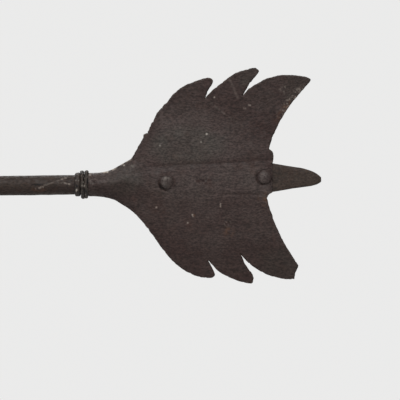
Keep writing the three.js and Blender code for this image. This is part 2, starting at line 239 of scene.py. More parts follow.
def bar(name, stations, steps, around=64, origin=(0, 0, 0), spread=3.0):
    """A forged bar along x. Each station is (x, middle z, half height, half depth, squareness)."""
    at = along(stations, spread)
    turn = np.arange(around) * 2 * math.pi / around
    across, up = np.cos(turn), np.sin(turn)
    rings = []
    for x in steps:
        middle, high, deep, square = at(x)
        stretch = (np.abs(across) ** square + np.abs(up) ** square) ** (-1 / square)
        y, z = deep * stretch * across, middle + high * stretch * up
        rings.append(np.stack([np.full(around, x), y, z], axis=1))
    return make(name, *skin(rings), origin)


def softened(profile, radius, step, closed=False):
    """The profile with its corners rounded, as points about step apart."""
    knots = [np.array(p, float) for p in profile]
    count = len(knots)
    path = []
    for i, knot in enumerate(knots):
        if not closed and i in (0, count - 1):
            path.append(knot)
            continue
        before, after = knots[i - 1] - knot, knots[(i + 1) % count] - knot
        cut = min(radius, 0.45 * np.linalg.norm(before), 0.45 * np.linalg.norm(after))
        start = knot + before / np.linalg.norm(before) * cut
        end = knot + after / np.linalg.norm(after) * cut
        for share in (0, 0.25, 0.5, 0.75, 1):
            path.append((1 - share) ** 2 * start + 2 * share * (1 - share) * knot + share**2 * end)
    if closed:
        path.append(path[0])
    out = [path[0]]
    for here, there in zip(path, path[1:]):
        parts = max(1, round(float(np.linalg.norm(there - here)) / step))
        out += [here + (there - here) * k / parts for k in range(1, parts + 1)]
    return out[:-1] if closed else out


def turned(
    name, profile, axis="z", around=72, origin=(0, 0, 0), radius=0.8, step=1.0, closed=False, wobble=None
):
    """A profile of (radius, height) turned about an axis. A closed profile makes a ring."""
    line = softened(profile, radius, step, closed)
    turn = np.arange(around) * 2 * math.pi / around
    rings = []
    for r, h in line:
        radii = np.full(around, max(r, 1e-3))
        heights = np.full(around, h)
        if wobble:
            radii, heights = wobble(turn, radii, heights)
        side, other = radii * np.cos(turn), radii * np.sin(turn)
        order = {"z": (side, other, heights), "x": (heights, side, other), "y": (side, heights, other)}
        rings.append(np.stack(order[axis], axis=1))
    if closed:
        points, faces = skin(rings + [rings[0]], closed_ends=False)
        count = len(rings) * around
        faces = [tuple(v % count for v in face) for face in faces]
        return make(name, points[:count], faces, origin)
    return make(name, *skin(rings), origin)


# ---- sheets cut to an outline


def smooth_run(knots, step):
    """Points about step apart on a smooth curve through the knots."""
    knots = [np.array(k, float) for k in knots]
    ends = [knots[0], *knots, knots[-1]]
    curve = []
    for a, b, c, d in zip(ends, ends[1:], ends[2:], ends[3:]):
        for t in np.linspace(0, 1, 24, endpoint=False):
            lean, out = (c - a) / 2, (d - b) / 2
            cubic = (2 * b - 2 * c + lean + out) * t + (-3 * b + 3 * c - 2 * lean - out)
            curve.append((cubic * t + lean) * t + b)
    curve = np.array([*curve, knots[-1]])
    gone = np.concatenate([[0], np.cumsum(np.linalg.norm(np.diff(curve, axis=0), axis=1))])
    at = np.linspace(0, gone[-1], max(2, round(gone[-1] / step) + 1))
    return np.stack([np.interp(at, gone, curve[:, k]) for k in range(2)], axis=1)


def outline(start, stretches, step=0.8):
    """A closed outline of smooth stretches that meet at corners, each starting where the last ended."""
    loop = [np.array([start], float)]
    for stretch in stretches:
        loop.append(smooth_run([loop[-1][-1], *stretch], step)[1:])
    loop.append(smooth_run([loop[-1][-1], start], step)[1:-1])
    return np.concatenate(loop)


def outward(loop):
    """The unit normal at each point of an outline, pointing away from the sheet."""
    run = np.roll(loop, -1, 0) - np.roll(loop, 1, 0)
    run /= np.linalg.norm(run, axis=1)[:, None] + 1e-9
    turned_right = np.stack([run[:, 1], -run[:, 0]], axis=1)
    x, z = loop[:, 0], loop[:, 1]
    area = np.sum(x * np.roll(z, -1) - np.roll(x, -1) * z)
    return turned_right * np.sign(area)


def inside(points, loop):
    """Which points are inside a closed outline."""
    hit = np.zeros(len(points), bool)
    for (x0, z0), (x1, z1) in zip(loop, np.roll(loop, -1, 0)):
        if z0 == z1:
            continue
        spans = (z0 > points[:, 1]) != (z1 > points[:, 1])
        hit ^= spans & (points[:, 0] < x0 + (points[:, 1] - z0) * (x1 - x0) / (z1 - z0))
    return hit


def distance_to(points, loop, most=4.0):
    """How far each point is from the outline, up to most."""
    found = np.full(len(points), most)
    for a, b in zip(loop, np.roll(loop, -1, 0)):
        near = np.all(np.abs(points - (a + b) / 2) < most + np.linalg.norm(b - a), axis=1)
        run = b - a
        share = np.clip((points[near] - a) @ run / (run @ run + 1e-9), 0, 1)
        gap = np.linalg.norm(points[near] - a - share[:, None] * run, axis=1)
        found[near] = np.minimum(found[near], gap)
    return found


ROW_GAP = 0.866  # between the rows of a grid of equal triangles


def cut_sheet(name, loops, front, back, spacing, soft=0.5, origin=(0, 0, 0)):
    """A sheet between front(x, z) and back(x, z), heights towards -y, cut to the first loop, with holes."""
    low, high = loops[0].min(0), loops[0].max(0)
    rows = []
    for i, z in enumerate(np.arange(low[1], high[1], spacing * ROW_GAP)):
        xs = np.arange(low[0] + spacing * (i % 2) / 2, high[0], spacing)
        rows.append(np.stack([xs, np.full(len(xs), z)], axis=1))
    grid = np.concatenate(rows)
    jitter = np.stack([lumps(np.pad(grid, ((0, 0), (0, 1))), 0.7, s, 1) for s in (91, 92)], axis=1)
    grid = grid + 0.25 * spacing * jitter
    keep = inside(grid, loops[0])
    for hole in loops[1:]:
        keep &= ~inside(grid, hole)
    grid = grid[keep]
    normals = [outward(loop) * (1 if loop is loops[0] else -1) for loop in loops]
    rim = np.concatenate([loop - normal * soft for loop, normal in zip(loops, normals)])
    for loop in loops:
        grid = grid[distance_to(grid, loop) > soft + 0.45 * spacing]
        rim = rim[distance_to(rim, loop) > 0.92 * soft]
    given = np.concatenate([*loops, rim, grid])
    edges = []
    base = 0
    for loop in loops:
        edges += [(base + i, base + (i + 1) % len(loop)) for i in range(len(loop))]
        base += len(loop)
    flat, _, faces, source, _, _ = delaunay_2d_cdt([Vector(p) for p in given], edges, [], 1, 1e-5)
    flat = np.array([tuple(v) for v in flat])
    place = {}
    for i, given_here in enumerate(source):
        for g in given_here:
            place[g] = i
    middles = np.array([flat[list(f)].mean(0) for f in faces])
    solid = np.ones(len(faces), bool)
    for hole in loops[1:]:
        solid &= ~inside(middles, hole)
    faces = [tuple(f) for f, s in zip(faces, solid) if s]
    x, z = flat[:, 0], flat[:, 1]
    depth = np.full(len(flat), soft)
    for loop in loops:
        depth = np.minimum(depth, distance_to(flat, loop, soft + 0.5))
    round_over = soft * 0.85 * (1 - depth / soft) ** 2
    near, far = front(x, z) - round_over, back(x, z) + round_over
    count = len(flat)
    points = np.concatenate([np.stack([x, -near, z], 1), np.stack([x, -far, z], 1)])
    mesh_faces = faces + [tuple(count + v for v in reversed(f)) for f in faces]
    base = 0
    for loop, normal in zip(loops, normals):
        rim_ids = [place[base + i] for i in range(len(loop))]
        bulge = 0.2 * normal
        start = len(points)
        middle = np.stack([x[rim_ids] + bulge[:, 0], -(near + far)[rim_ids] / 2, z[rim_ids] + bulge[:, 1]])
        points = np.concatenate([points, middle.T])
        for i in range(len(loop)):
            k = (i + 1) % len(loop)
            a, b = rim_ids[i], rim_ids[k]
            mesh_faces.append((a, b, start + k, start + i))
            mesh_faces.append((start + i, start + k, count + b, count + a))
        base += len(loop)
    return make(name, points, mesh_faces, origin)


# ---- finishes


class Shader:
    """A node tree, with short ways to add to it. Sizes are in millimetres."""

    def __init__(self, owner):
        self.owner = owner
        owner.use_nodes = True
        self.tree = owner.node_tree
        self.place = self.node("TexCoord").outputs["Object"]

    def node(self, kind, inputs=None, **values):
        made = self.tree.nodes.new("ShaderNode" + kind)
        for key, value in values.items():
            setattr(made, key, value)
        return self.fill(made, inputs or {})

    def fill(self, node, inputs):
        """Gives each named input a number or the output of another node."""
        for key, value in inputs.items():
            if isinstance(value, bpy.types.NodeSocket):
                self.tree.links.new(value, node.inputs[key])
            else:
                node.inputs[key].default_value = value
        return node

    def surface(self, inputs):
        """The material, with its surface's inputs filled."""
        self.fill(next(node for node in self.tree.nodes if node.type == "BSDF_PRINCIPLED"), inputs)
        return self.owner

    def stretched(self, factors):
        return self.node("VectorMath", {0: self.place, 1: factors}, operation="MULTIPLY").outputs[0]

    def noise(self, size, detail=3.0, rough=0.55, place=None, twist=0.0):
        grain = {"Scale": 1 / (size * MM), "Detail": detail, "Roughness": rough, "Distortion": twist}
        return self.node("TexNoise", {"Vector": place or self.place, **grain}).outputs["Fac"]

    def cells(self, size):
        return self.node("TexVoronoi", {"Vector": self.place, "Scale": 1 / (size * MM)})

    def ramp(self, value, low, high, start=0.0, end=1.0, kind="SMOOTHSTEP"):
        ends = {"From Min": low, "From Max": high, "To Min": start, "To Max": end}
        return self.node("MapRange", {"Value": value, **ends}, interpolation_type=kind).outputs["Result"]

    def math(self, operation, a, b):
        return self.node("Math", {0: a, 1: b}, operation=operation).outputs[0]

    def blend(self, share, a, b, blend_type="MIX"):
        made = self.node("Mix", {"Factor": share}, data_type="RGBA", blend_type=blend_type)
        slots = [i for i, socket in enumerate(made.inputs) if socket.type == "RGBA"]
        for slot, value in zip(slots, (a, b)):
            self.fill(made, {slot: value if isinstance(value, bpy.types.NodeSocket) else (*value, 1.0)})
        return next(socket for socket in made.outputs if socket.type == "RGBA")

    def shade(self, colour, level):
        """The colour times a level."""
        grey_and_sheen = self.node("CombineXYZ", {0: level, 1: level, 2: level})
        return self.blend(1.0, colour, grey_and_sheen.outputs[0], "MULTIPLY")

    def attribute(self, name):
        return self.node("Attribute", attribute_name=name).outputs["Fac"]


UMBER_BLOOM = (0.066, 0.031, 0.021)
RUBBED_EDGE = (0.140, 0.118, 0.094)
PALE_SPECK = (0.22, 0.19, 0.165)
# Lighter and less red: patina that has lost its red, and a painted sheen of light.
SHEEN_AND_LOST_RED = (0.98, 1.13, 1.09)
BARE_METAL_AND_GLINT = (0.43, 0.395, 0.345)
RUST = (0.140, 0.064, 0.027)
# Darkening for the soot mark, which carries painted shade and painted shadow as well as dirt and soot.
SHADE_AND_GRIME = (0.60, 0.495, 0.475)
SHADOW_AND_SOOT = (0.0030, 0.0024, 0.0022)


def iron(name, dark, light, rust, sheen=0.2, drawn=(0.16, 1.0, 1.0), relief=0.22):
    """Dark oxidised iron: umber patina, gritty scale, drawn fibre, rust bloom, specks and rubbed edges."""
    s = Shader(bpy.data.materials.new(name))
    colour = s.blend(s.ramp(s.noise(34, 3, 0.6, twist=0.4), 0.36, 0.64), dark, light)
    grit = s.noise(1.3, 3, 0.62, s.stretched(tuple(0.45 + 0.7 * k for k in drawn)))
    fibre = s.noise(1.6, 3, 0.6, s.stretched(drawn))
    pits = s.ramp(s.cells(2.6).outputs["Distance"], 0.0, 0.42)
    colour = s.shade(colour, s.ramp(grit, 0.30, 0.70, 0.58, 1.52))
    colour = s.shade(colour, s.ramp(fibre, 0.30, 0.70, 0.86, 1.14))
    bloom = s.math("MULTIPLY", s.ramp(s.noise(21, 5, 0.66), 0.54, 0.74), rust)
    colour = s.blend(bloom, colour, UMBER_BLOOM)
    edge = s.node("NewGeometry").outputs["Pointiness"]
    brightened = s.math("MULTIPLY", s.ramp(edge, 0.515, 0.57), s.ramp(s.noise(3, 3), 0.40, 0.65))
    colour = s.blend(s.math("MULTIPLY", brightened, 0.6), colour, RUBBED_EDGE)
    spots = s.cells(6.5)
    chosen = s.ramp(spots.outputs["Color"], 0.80, 0.82)
    speck = s.math("MULTIPLY", s.ramp(spots.outputs["Distance"], 0.05, 0.10, 0.5, 0.0), chosen)
    colour = s.blend(speck, colour, PALE_SPECK)
    # This mark lightens the colour and takes out red: patina that lost its red, and a painted sheen of
    # light.
    colour = s.blend(s.attribute("grey_and_sheen"), colour, SHEEN_AND_LOST_RED, "MULTIPLY")
    # The pale mark: bare metal at chips and scratches, and painted glints and highlights of light.
    colour = s.blend(s.attribute("pale"), colour, BARE_METAL_AND_GLINT)
    colour = s.blend(s.attribute("rust"), colour, RUST)
    # The soot mark darkens the colour: painted shade and dirt up to 1, and near black beyond that for
    # painted shadow in gaps and soot in pits.
    soot_and_shade = s.attribute("soot_and_shade")
    colour = s.blend(s.ramp(soot_and_shade, 0.0, 1.0), colour, SHADE_AND_GRIME, "MULTIPLY")
    colour = s.blend(s.ramp(soot_and_shade, 1.0, 2.0), colour, SHADOW_AND_SOOT)
    height = s.math("ADD", grit, s.math("MULTIPLY", pits, 0.3))
    height = s.math("ADD", height, s.math("MULTIPLY", fibre, 0.35))
    height = s.math("ADD", height, s.math("MULTIPLY", s.noise(0.6, 2), 0.4))
    bump = s.node("Bump", {"Strength": 1.0, "Distance": relief * MM, "Height": height})
    rough = s.ramp(s.noise(3.2, 4), 0.3, 0.7, 0.52, 0.78)
    look = {"Base Color": colour, "Normal": bump.outputs["Normal"], "Roughness": rough}
    return s.surface({**look, "Metallic": 0.0, "Specular IOR Level": sheen})


UMBER = (0.0258, 0.0165, 0.0120), (0.0315, 0.0213, 0.0158)
EVEN = (1.0, 1.0, 1.0)
SHEET_IRON = iron("sheet_iron", (0.0400, 0.0265, 0.0240), (0.0460, 0.0340, 0.0308), 0.3)
FORGED_IRON = iron("forged_iron", *UMBER, 0.3, 0.28, (0.26, 1.0, 1.0), 0.28)
RIVET_IRON = iron("rivet_iron", (0.0410, 0.0302, 0.0262), (0.0520, 0.0398, 0.0350), 0.2, 0.35)
BROWN_RIVET = iron("brown_rivet_iron", (0.0430, 0.0292, 0.0265), (0.0500, 0.0372, 0.0338), 0.2, 0.35)
COLLAR_IRON = iron("collar_iron", (0.0215, 0.0155, 0.0118), (0.0350, 0.0268, 0.0208), 0.3, 0.35, EVEN, 0.4)
UPRIGHT_IRON = iron("upright_iron", *UMBER, 0.3, 0.28, (1.0, 1.0, 0.32))


def running_steel(name):
    """Turned steel, greyed and worn where it runs."""
    s = Shader(bpy.data.materials.new(name))
    colour = s.blend(s.ramp(s.noise(3, 4), 0.3, 0.7), (0.07, 0.066, 0.060), (0.21, 0.20, 0.185))
    turning_marks = s.noise(1.2, 3, 0.6, s.stretched((1, 1, 6)))
    rough = s.ramp(turning_marks, 0.3, 0.7, 0.28, 0.5)
    return s.surface({"Base Color": colour, "Roughness": rough, "Metallic": 0.8})


RUNNING_STEEL = running_steel("running_steel")
MARKS = ("grey_and_sheen", "pale", "rust", "soot_and_shade")


def finish(piece, material, slot, body, *nodes):
    """Gives a piece its finish and says which CAD nodes it stands for."""
    piece.data.materials.clear()
    piece.data.materials.append(material)
    for name in MARKS:
        piece.data.attributes.new(name, "FLOAT", "POINT")
    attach(piece, body)
    if nodes:
        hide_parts(*nodes)


def paint(piece, name, shares):
    """Sets a mark, 0 for none to 2 for the most, on each vertex, from shares(points in millimetres)."""
    values = np.clip(shares(vertices(piece.data)), 0, 2)
    piece.data.attributes[name].data.foreach_set("value", values.astype(np.float32))


def streak(points, start, end, width):
    """1 on the line from start to end in the xz plane, falling to 0 at width from it."""
    a, b = np.array(start, float), np.array(end, float)
    flat = points[:, [0, 2]] - a
    share = np.clip(flat @ (b - a) / ((b - a) @ (b - a)), 0, 1)
    gap = np.linalg.norm(flat - share[:, None] * (b - a), axis=1)
    return 1 - ease(gap, 0.2 * width, width)


def streaks(points, lines):
    """The sum of streaks, each given as (strength, start, end, width)."""
    return sum(strength * streak(points, start, end, width) for strength, start, end, width in lines)


# ---- the tail

TAIL = (TAIL_X, 0, AXIS_Z)
SHEET = 2.0  # thickness
WING_FRONT = 3.8  # the wings' face, in front of the shaft's axis

# From the neck's top, clockwise: three barbs, the hollow trailing edge and three more.
FLETCHING = [
    [(35.5, 20.3)],
    [(40.5, 28.5), (45.5, 38)],
    [(45.6, 40.2)],
    [(49.2, 41.4)],
    [(53, 50.2), (59.2, 59.9), (67, 68.3), (72.3, 74.5), (82, 80.8), (96, 85.6)],
    [(100.5, 85.9), (103, 84.1), (102.5, 81.6)],
    [(98.9, 75.8), (95.8, 68.7)],
    [(105, 77.3), (118, 87.2), (125, 90.7), (133.7, 92.9)],
    [(138, 93.5), (140.7, 91.4), (139.6, 89)],
    [(132.5, 80.2), (130.3, 76.7), (127.2, 71.2)],
    [(130.2, 73.9), (133.5, 77.1), (144.7, 83.5), (155.3, 86.6), (163, 87.4), (175.5, 86.5), (181.3, 85.1)],
    [(183.1, 83.5), (181.7, 81.2)],
    [(170, 68), (160, 54), (152, 39.2), (148, 27.1)],
    [(151.2, 24.2), (151.6, 20), (150.7, 15.4)],
    [(150.2, -8.3)],
    [(147.8, -9.6), (146, -13.4)],
    [(148.4, -23), (154.6, -39.8), (162, -54.3), (171, -68.8)],
    [(168.9, -74.4), (167.4, -79.6)],
    [(158.5, -79.2), (144.5, -75.1), (133.5, -68.3), (127, -62.1), (123.1, -56.4)],
    [(125, -61.8), (128.2, -68.4), (133.4, -75.6), (134.1, -79)],
    [(132.8, -82.3), (130, -82.5)],
    [(121.5, -80.4), (110.6, -75.5), (104.3, -71.1), (100.6, -66.9), (96.9, -63)],
    [(98.9, -67.1), (101.2, -71.8), (102.5, -75.2), (101.2, -76.9), (99.2, -77.5)],
    [(90.5, -76.8), (81.8, -73.4), (72.5, -67.4), (62.5, -56.5)]
    + [(48.2, -36.5), (38.3, -24.6), (30.5, -18.5)],
]

# The rolled socket and the flare that it runs out in: x, top, bottom, front, crest of the front, back,
# and how round its section is, from 2 for a circle to 1.3 for a blunt ridge.
SOCKET = [
    (0, 9.6, 9.7, 9.6, 0, 9.6, 2),
    (5, 9.5, 9.8, 9.7, 0.2, 9.5, 1.85),
    (12, 10.0, 10.5, 9.9, 0.6, 9.2, 1.6),
    (17, 11.3, 11.5, 9.8, 1.0, 8.4, 1.5),
    (21.5, 13.0, 13.0, 9.6, 1.6, 7.5, 1.42),
    (26.5, 15.9, 16.3, 9.0, 3.4, 6.3, 1.36),
    (30.5, 18.1, 18.6, 8.2, 4.4, 5.4, 1.3),
    (35, 20.3, 21.0, 7.5, 4.4, 4.8, 1.3),
    (42, 17.5, 18.0, 6.9, 4.0, 4.6, 1.4),
    (50, 14.5, 13.0, 6.2, 3.6, 4.6, 1.5),
    (60, 12.5, 9.0, 5.5, 3.2, 4.6, 1.6),
]
SOCKET_START = 30.5  # where the flat plate begins, inside the flare
SOCKET_END = 34.4
SOCKET_AT = along(SOCKET, 3.0)
RING_PIT = (113.7, -33.7)
# The raised strip's upper step and its lower edge: x, then z.
PANEL_TOP = [30, 58, 80, 103, 128, 151], [11.5, 12.4, 13.5, 14.1, 15.4, 16.2]
PANEL_LOW = [30, 58, 100, 151], [-9.0, -7.7, -8.6, -9.8]
RIVETS = [(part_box(node)[0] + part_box(node)[1]) / 2 / MM for node in ("tail_rivet_1", "tail_rivet_2")]


def in_tail(points):
    """The points measured from the mouth of the tail's socket, and their x and z."""
    at = points - np.array(TAIL)
    return at, at[:, 0], at[:, 2]


def flare_share(x, z):
    """How far the flare's front stands out, from 1 at its crest to 0 at its edges."""
    top, bottom, _, crest, _, power = SOCKET_AT(x)
    side = np.where(z > crest, top - crest, bottom + crest)
    share = np.clip(np.abs(z - crest) / side, 0, 1)
    return (1 - share**power) ** (1 / power)


def panel_rise(x, z):
    """The crowned strip beaten out over the tongue, with a step along its upper side and a lip below."""
    top, low = np.interp(x, *PANEL_TOP), np.interp(x, *PANEL_LOW)
    above = np.clip((z - 2) / (top - 2), 0, 1.3)
    below = np.clip((2 - z) / (2 - low), 0, 1.3)
    crown = 1.5 - 0.75 * above**2 - 0.75 * below**2
    far = ease(x, 100, 122)
    soft = 1.8 * (1 - far)
    shape = crown * band(z, low - 1.1 - soft, low + 1.3 + soft, top - 1.0, top + 1.6)
    valley = ease(z, top, top + 1.4) * np.exp(-np.clip(z - top, 0, 99) / 3.8)
    crease = (0.10 + 0.2 * far) * swell(z, low - 0.6, 0.9)
    lip = 0.3 * far * swell(z, low - 3.0, 1.2)
    return shape - (0.8 - 0.3 * ease(x, 90, 120)) * valley - crease + lip


def tail_form(x, z):
    """The plate's front, without its small marks: cambered wings, the panel and the flare."""
    upper, lower = np.clip(z - 18, 0, None), np.clip(-8 - z, 0, None)
    camber = 2.0 * ease(upper, 0, 40) - 0.6 * ease(upper, 45, 80) + 2.6 * (lower / 75) ** 1.2
    wing = WING_FRONT * ease(x, SOCKET_START, 40) - camber * ease(x, 38, 56)
    deep = SOCKET_AT(x)[2]
    flare = (deep - wing) * flare_share(x, z)
    fold_top = np.interp(x, [36, 44, 58, 74], [7.0, 8.2, 9.6, 12.0])
    fold = 0.8 * band(x, 34, 42, 58, 74) * band(z, -6, 5, fold_top - 1.3, fold_top + 1.6)
    return wing + flare * (1 - ease(x, 36, 60)) + panel_rise(x, z) * ease(x, 36, 60) + fold


def upright_plane(x, z):
    """Points at y = 0."""
    return np.stack([x, np.zeros_like(x), z], axis=1)


def marks(x, z):
    """Hammer marks, unevenness and grit."""
    at = upright_plane(x, z)
    broad = 0.40 * lumps(at, 34, 11) * ease(x, 34, 60) * (0.3 + 0.7 * ease(np.abs(z - 3), 10, 30))
    hammered = 0.14 * (dents(at, 10, 12) + 0.5) + 0.10 * lumps(at, (12, 12, 4), 13)
    return broad + hammered + 0.085 * lumps(at, (2.7, 2.7, 1.3), 14, 3)


def crater(x, z, middle, radius, deep, rim=0.0):
    """A dent with a raised rim at radius."""
    gap = away(x, z, middle) / radius
    return rim * swell(gap, 1, 0.35) - deep * swell(gap, 0, 0.75)


LOWER_LEFT = (-1, -0.7)  # where the plate was dished round a rivet


def rim_of(x, z, rivet, towards, radius, width):
    """A crescent round a rivet's head, strongest on the side that towards points to."""
    off_x, off_z = x - rivet.x + TAIL_X, z - rivet.z + AXIS_Z
    gap = np.hypot(off_x, off_z)
    facing = (off_x * towards[0] + off_z * towards[1]) / (gap + 1e-6) / math.hypot(*towards)
    return np.clip(facing, 0, 1) ** 1.5 * swell(gap, radius, width)


def dips(x, z):
    """Where the plate was dished by the rivets' sets, thinned over the tongue, or pitted."""
    down = 0.25 * crater(x, z, (95.2, 2.3), 1.2, 3.0) + crater(x, z, RING_PIT, 2.1, 0.7, 0.5)
    down += 0.3 * crater(x, z, (39.7, 0.7), 1.9, 0.3, 1.0)
    for rivet, deep in zip(RIVETS, (1.6, 1.1)):
        beside = (rivet.x - TAIL_X + 4.5, rivet.z - AXIS_Z - 1.5)
        down += 0.9 * swell(away(x, z, beside), 0, 3.2) - deep * rim_of(x, z, rivet, LOWER_LEFT, 5.9, 1.1)
    return down - 1.5 * ease(x, 146.5, 151) * band(z, -9.5, -7.5, 14.5, 16.5)


def tail_front(x, z):
    """The plate's front face, towards -y."""
    return tail_form(x, z) + marks(x, z) + dips(x, z)


def tail_back(x, z):
    """The back face, where a dip shows only if it would leave the sheet under 0.45 thick."""
    return np.minimum(tail_form(x, z) + marks(x, z) - SHEET, tail_front(x, z) - 0.45)


def nibbled(loop, amount):
    """The outline with the small steps and chips of hand shears and rust."""
    at = np.pad(loop, ((0, 0), (0, 1)))
    steps = 0.18 * lumps(at, 4.5, 21) + 0.16 * lumps(at, 1.7, 22)
    chips = 0.25 * ease(lumps(at, 2.6, 23), 0.35, 0.8)
    return loop + outward(loop) * ((0.06 + steps - chips) * amount(loop))[:, None]


def tail_amount(loop):
    """How much of the nibbling each point gets: most on the first upper barb, none at the socket."""
    x, z = loop[:, 0], loop[:, 1]
    leading = 0.9 * ease(z, 22, 30) * (1 - ease(x, 62, 72))
    return ease(x, SOCKET_START + 0.5, 35) * (1 + leading)


def tail_socket():
    """The socket and flare as one skin, up to where the plate has risen out of it."""
    turn = np.arange(128) * 2 * math.pi / 128
    rings = []
    for x in np.arange(0, SOCKET_END, 0.5):
        top, bottom, front, crest, back, power = SOCKET_AT(x)
        rise = np.sin(turn)
        z = crest + np.where(rise > 0, top - crest, bottom + crest) * rise
        fore = (front - 0.35 * ease(x, 31, 34)) * (1 - np.abs(rise) ** power) ** (1 / power)
        aft = back * np.abs(np.cos(turn))
        rings.append(np.stack([np.full(len(turn), x), np.where(np.cos(turn) < 0, -fore, aft), z], axis=1))
    piece = make("tail_socket", *skin(rings), TAIL)
    return beat(piece, lambda points: marks(points[:, 0] - TAIL_X, points[:, 2] - AXIS_Z))


def build_tail():
    """The plate and the socket as one forging."""
    loop = nibbled(outline((SOCKET_START, 17.9), FLETCHING), tail_amount)
    wings = cut_sheet("tail_wings", [loop], tail_front, tail_back, 0.75, origin=TAIL)
    return join("tail_plate_forged", [wings, tail_socket()])


plate = build_tail()
finish(plate, SHEET_IRON, "sheet_iron", "vane", "tail_plate")

# Chips that show pale, and two painted glints on the neck's upper edge, as (x, z, strength).
CHIPS = [
    (104.2, 70, 0.8),
    (132.2, 63.4, 0.45),
    (133.3, 63.2, 0.45),
    (129.3, 60.7, 0.3),
    (127.9, 60.9, 0.25),
    (97.5, 40.1, 1.0),
    (92.7, 33.6, 0.36),
    (59, 31.1, 0.34),
    # Painted glints of light on the neck's upper edge.
    (29.3, 15.4, 0.55),
    (15.7, 9.9, 0.5),
    (97.5, 4.4, 0.06),
    (91.6, 4.4, 0.04),
    (96.2, 1.4, 0.05),
    (87, 1.2, 0.04),
    (55.4, -19.4, 0.7),
    (84.9, -25.9, 0.8),
    (85.2, -27.1, 0.5),
    (80.9, -32.5, 0.6),
]

# Faint lines on the plate and dark ones, as (strength, start, end, width).
FAINT_LINES = [
    (0.09, (97, 69), (112, 56.5), 1.2),
    (0.06, (112, 56.5), (129, 45), 0.9),
    (0.05, (95, -28.2), (134, -28.8), 0.9),
    (0.06, (71.5, 22.2), (77.5, 22.8), 1.2),
    (0.05, (129.5, 32.2), (134.5, 32.4), 0.9),
]
DARK_LINES = [
    (1.3, (88.7, 1.9), (90.6, 1.4), 1.5),
    (1.5, (92.2, 2.6), (94.4, 1.8), 1.5),
    (1.35, (98.5, 2.5), (100.2, 2.3), 1.4),
    (1.1, (95.6, -0.4), (96.8, -0.6), 1.3),
    (1.15, (93.9, -59.3), (96.6, -62.8), 1.3),
    (1.0, (122.6, -55.8), (123.2, -53.2), 0.8),
]
# Painted shade along the wings' leading edges by the socket, as (strength, start, end, width).
LEADING_EDGE_SHADE = [(0.46, (38, 23), (54, 50), 10), (0.30, (38, -24), (56, -47), 8)]

# Crescents of painted shade round the rivets' heads, in the gaps and dishes beside them, as (strength,
# rivet, side, radius, width).
SHADED_RIMS = [
    (2.0, 0, LOWER_LEFT, 5.9, 1.1),
    (1.3, 1, LOWER_LEFT, 5.9, 1.1),
    (0.9, 0, (1, 0.1), 6.4, 1.5),
    (0.8, 1, (-0.6, 1), 6.0, 0.8),
    (0.8, 1, (1, -0.2), 6.0, 0.8),
]


def edge_glint_and_rub(at, x, z):
    """Where the flare's upper edge has been rubbed back to bright metal and catches a painted glint of
    light.
    """
    top_edge = np.interp(x, [5, 12, 17, 21.5, 26.5, 30.5, 35], [9.6, 10, 11.3, 13, 15.9, 18.1, 20.3])
    along_edge = (1 - ease(top_edge - z, 0.5, 1.6)) * band(x, 0, 3, 32, 37)
    return along_edge * ease(lumps(at, 3.4, 46), -0.15, 0.4)


def in_from_edge(x, z):
    """How far in from the upper barb's hollow trailing edge, along x."""
    return np.interp(z, [27, 39, 54, 68, 81], [148, 152, 160, 170, 181.7]) - x


def on_front(at):
    """Which points are on the plate's front."""
    return -at[:, 1] > tail_form(at[:, 0], at[:, 2]) - 1.2


def tail_pale(points):
    """Chips, the scaled patch by the trailing edge, scratches, and edges rubbed to bright metal, with
    painted glints of light along the flare's upper edge and by the collar.
    """
    at, x, z = in_tail(points)
    chips = np.max([strength * spot(x, z, place, 0.3, 1.0) for *place, strength in CHIPS], axis=0)
    by_edge = (1 - ease(in_from_edge(x, z), 3, 9)) * band(z, 50, 56, 74, 82)
    cluster = 0.7 * spot(x, z, (160.5, 75.5), 1, 5, tall=1.3)
    patch = ease(lumps(at, 1.15, 41, 3), 0.15, 0.8) * np.maximum(by_edge, cluster)
    broken = ease(lumps(at, 1.4, 43), -0.5, 0.5)
    lines = (0.05 + 0.07 * broken) * streak(at, (116.9, 84.4), (123.3, 69.2), 1.5)
    lines += broken * streaks(at, FAINT_LINES) + 0.6 * streak(at, (107.9, -17.4), (107.9, -19.8), 0.6)
    # Painted glints of light: along the flare's upper edge, a spot on the flare, and a spot and fine
    # sparkle beside the collar.
    brightened = 0.8 * edge_glint_and_rub(at, x, z)
    brightened += 0.16 * spot(x, z, (36.2, 14.6), 0.3, 1.9, wide=1.6) * ease(lumps(at, 1.3, 47), -0.4, 0.5)
    brightened += 0.30 * spot(x, z, (1.4, 7.8), 0.3, 1.3)
    brightened += 0.12 * ease(lumps(at, 1.3, 50), 0.2, 0.8) * (1 - ease(x, 4, 9))
    ring = 0.10 * swell(away(x, z, RING_PIT), 2.6, 0.6) * broken
    ring += 0.34 * spot(x, z, (112.8, -32.5), 0.3, 1.0)
    facing = np.where(x > SOCKET_START, on_front(at), at[:, 1] < 0.8)
    return (chips + 0.40 * patch + lines + brightened + ring) * facing


def tail_rust(points):
    """Rust at the trailing edge, low on the plate, beside a chip and along the rubbed edge."""
    at, x, z = in_tail(points)
    blooms = 0.40 * (1 - ease(in_from_edge(x, z), 2, 8)) * band(z, 46, 54, 63, 72)
    blooms += 0.35 * spot(x, z, (143, -14), 1, 6, tall=1.5) + 0.36 * spot(x, z, (114.5, -40), 1, 6.5)
    blooms *= ease(lumps(at, 2.2, 42, 3), -0.3, 0.6)
    beside_chip = 0.3 * spot(x, z, (86.2, -26.4), 0.5, 1.6)
    return (blooms + beside_chip) * on_front(at) + 0.4 * edge_glint_and_rub(at, x, z)


